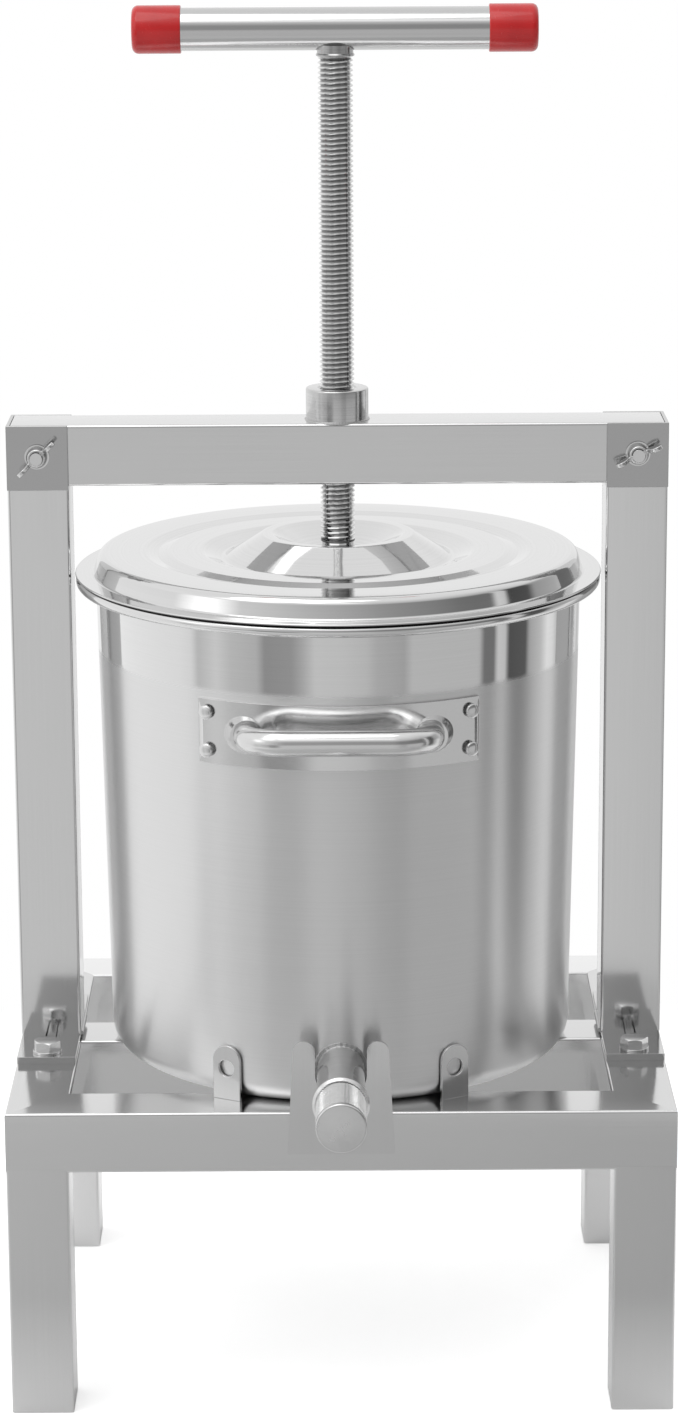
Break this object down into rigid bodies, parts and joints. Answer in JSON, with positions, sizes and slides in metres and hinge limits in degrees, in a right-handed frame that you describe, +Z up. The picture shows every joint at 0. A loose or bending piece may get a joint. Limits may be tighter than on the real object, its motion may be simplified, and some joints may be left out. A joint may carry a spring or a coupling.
{
  "type": "fruit press",
  "caption": "Stainless steel screw press: a lidded pot with side handles and a capped spout on a legged tube frame, with a T-handled screw through a beam.",
  "frame": {"origin": "on the floor under the feet, on the middle plane between the two posts' outer sides, midway between the front of the spout's cap and the back of the rear handle", "axes": "+Z up along the screw, +X to the right seen from the spout's side, so the spout points to -Y"},
  "size_m": [0.2678, 0.2872, 0.5559],
  "materials": {
    "frame_steel": "satin stainless tube",
    "plate_steel": "satin stainless plate",
    "fastener_steel": "bright stainless fasteners",
    "screw_steel": "turned stainless thread",
    "boss_steel": "turned stainless",
    "spring_steel": "dark spring steel",
    "handle_steel": "satin stainless tube",
    "red_plastic": "glossy red plastic",
    "lid_steel": "mirror polished stainless",
    "pot_steel": "polished band over satin wall",
    "grip_steel": "polished stainless",
    "spout_steel": "turned stainless",
    "gasket_rubber": "soft sealing rubber",
    "basket_steel": "perforated stainless sheet",
    "press_steel": "satin stainless plate"
  },
  "bodies": {
    "frame": {"front_rail": "frame_steel", "rear_rail": "frame_steel", "left_rail": "frame_steel", "right_rail": "frame_steel", "middle_rail": "frame_steel", "front_left_leg": "frame_steel", "front_right_leg": "frame_steel", "rear_left_leg": "frame_steel", "rear_right_leg": "frame_steel", "spout_bracket": "plate_steel", "pot_stops": "plate_steel", "left_post": "frame_steel", "right_post": "frame_steel", "left_foot_plate": "plate_steel", "right_foot_plate": "plate_steel", "foot_bolts": "fastener_steel", "foot_washers": "fastener_steel", "foot_nuts": "fastener_steel", "left_saddle": "plate_steel", "right_saddle": "plate_steel", "beam": "frame_steel", "screw_boss": "boss_steel", "beam_bolts": "fastener_steel", "pot_floor": "pot_steel", "pot_wall": "pot_steel", "pot_rim": "pot_steel", "front_handle_plate": "grip_steel", "rear_handle_plate": "grip_steel", "front_handle_bar": "grip_steel", "rear_handle_bar": "grip_steel", "handle_rivets": "fastener_steel", "spout_pipe": "spout_steel", "basket_floor": "basket_steel", "basket_wall": "basket_steel", "basket_rim": "basket_steel"},
    "lid": {"lid": "lid_steel"},
    "screw": {"screw": "screw_steel", "stop_ring": "spring_steel", "handle_tube": "handle_steel", "left_grip_cap": "red_plastic", "right_grip_cap": "red_plastic", "lid_washer": "fastener_steel", "lid_clip": "spring_steel"},
    "left_washer": {"left_washer": "fastener_steel"},
    "left_wing_nut": {"left_wing_nut": "fastener_steel"},
    "right_washer": {"right_washer": "fastener_steel"},
    "right_wing_nut": {"right_wing_nut": "fastener_steel"},
    "cap_gasket": {"cap_gasket": "gasket_rubber"},
    "spout_cap": {"spout_cap": "spout_steel"},
    "press_plate": {"press_plate": "press_steel", "press_cup": "boss_steel"}
  },
  "joints": [
    {"name": "screw_feed", "type": "slide", "parent": "frame", "child": "lid", "axis": [0, 0, 1], "range_m": [0, 0.02]},
    {"name": "screw_turn", "type": "hinge", "parent": "lid", "child": "screw", "pos_m": [0, 0.02316, 0.45], "axis": [0, 0, 1], "range_deg": [0, 3600]},
    {"name": "press_plate_lift", "type": "slide", "parent": "frame", "child": "press_plate", "axis": [0, 0, 1], "range_m": [0, 0.15]},
    {"name": "left_nut_feed", "type": "slide", "parent": "frame", "child": "left_washer", "axis": [0, -1, 0], "range_m": [0, 0.0048]},
    {"name": "left_nut_turn", "type": "hinge", "parent": "left_washer", "child": "left_wing_nut", "pos_m": [-0.12144, 0, 0.3771], "axis": [0, -1, 0], "range_deg": [0, 2160]},
    {"name": "right_nut_feed", "type": "slide", "parent": "frame", "child": "right_washer", "axis": [0, -1, 0], "range_m": [0, 0.0048]},
    {"name": "right_nut_turn", "type": "hinge", "parent": "right_washer", "child": "right_wing_nut", "pos_m": [0.12144, 0, 0.3771], "axis": [0, -1, 0], "range_deg": [0, 2160]},
    {"name": "spout_cap_feed", "type": "slide", "parent": "frame", "child": "cap_gasket", "axis": [0, -1, 0], "range_m": [0, 0.012]},
    {"name": "spout_cap_turn", "type": "hinge", "parent": "cap_gasket", "child": "spout_cap", "pos_m": [0, -0.12, 0.1446], "axis": [0, -1, 0], "range_deg": [0, 2880]}
  ],
  "couplings": [
    {"joint": "screw_turn", "follows": "screw_feed", "rad_per_m": 3141.6},
    {"joint": "left_nut_turn", "follows": "left_nut_feed", "rad_per_m": 7854},
    {"joint": "right_nut_turn", "follows": "right_nut_feed", "rad_per_m": 7854},
    {"joint": "spout_cap_turn", "follows": "spout_cap_feed", "rad_per_m": 4188.8}
  ]
}
